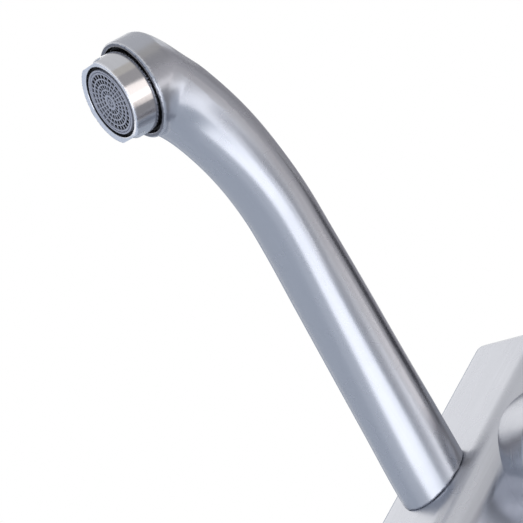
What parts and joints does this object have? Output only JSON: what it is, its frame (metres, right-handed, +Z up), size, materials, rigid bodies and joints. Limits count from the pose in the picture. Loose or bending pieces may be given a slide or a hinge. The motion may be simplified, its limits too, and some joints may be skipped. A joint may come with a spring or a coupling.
{
  "type": "bathroom sink faucet",
  "caption": "Single-lever basin mixer with a square column, a flat spout arm that rises and bends down to a tilted aerator, and a side lever.",
  "frame": {"origin": "where the column's upright axis meets the top of the worktop, in the plane of the base gasket's underside", "axes": "+Z up, -Y forwards along the spout, +X to the right, along the cartridge and out of the side lever"},
  "size_m": [0.0917, 0.1985, 0.2296],
  "materials": {
    "brushed_nickel": "brushed nickel over cast brass",
    "bare_brass": "machined",
    "zinc_steel": "zinc plated",
    "black_rubber": "matte",
    "grey_plastic": "satin",
    "white_plastic": "satin",
    "blue_plastic": "satin",
    "ceramic": "polished alumina",
    "index_marks": "gloss"
  },
  "bodies": {
    "faucet": {"column": "brushed_nickel", "spout_arm": "brushed_nickel", "base_flange": "brushed_nickel", "base_gasket": "black_rubber", "mounting_stud": "zinc_steel", "horseshoe_gasket": "black_rubber", "horseshoe_plate": "zinc_steel", "stud_nut": "bare_brass", "aerator_housing": "brushed_nickel", "aerator_washer": "black_rubber", "aerator_screen": "zinc_steel", "flow_restrictor": "blue_plastic", "aerator_mixer": "white_plastic", "aerator_insert": "grey_plastic", "cartridge_base": "white_plastic", "inlet_seals": "black_rubber", "outlet_seal": "black_rubber", "fixed_disc": "ceramic", "cartridge_housing": "grey_plastic", "stem_o_ring": "black_rubber", "cartridge_nut": "bare_brass", "dome_cover": "brushed_nickel"},
    "swivel": {"rotor": "white_plastic", "stem_pin": "zinc_steel"},
    "slider": {"disc_carrier": "blue_plastic", "moving_disc": "ceramic"},
    "lever": {"lever_stem": "zinc_steel", "lever_handle": "brushed_nickel", "set_screw": "zinc_steel", "index_plug": "index_marks"}
  },
  "joints": [
    {"name": "handle_turn", "type": "hinge", "parent": "faucet", "child": "swivel", "pos_m": [0.023, 0, 0.088], "axis": [1, 0, 0], "range_deg": [-45, 45]},
    {"name": "handle_lift", "type": "hinge", "parent": "swivel", "child": "lever", "pos_m": [0.023, 0, 0.088], "axis": [0, 1, 0], "range_deg": [0, 25]},
    {"name": "disc_slide", "type": "slide", "parent": "swivel", "child": "slider", "axis": [0, 0, 1], "range_m": [0, 0.0033]}
  ],
  "couplings": [
    {"joint": "disc_slide", "follows": "handle_lift", "m_per_rad": 0.0075}
  ]
}
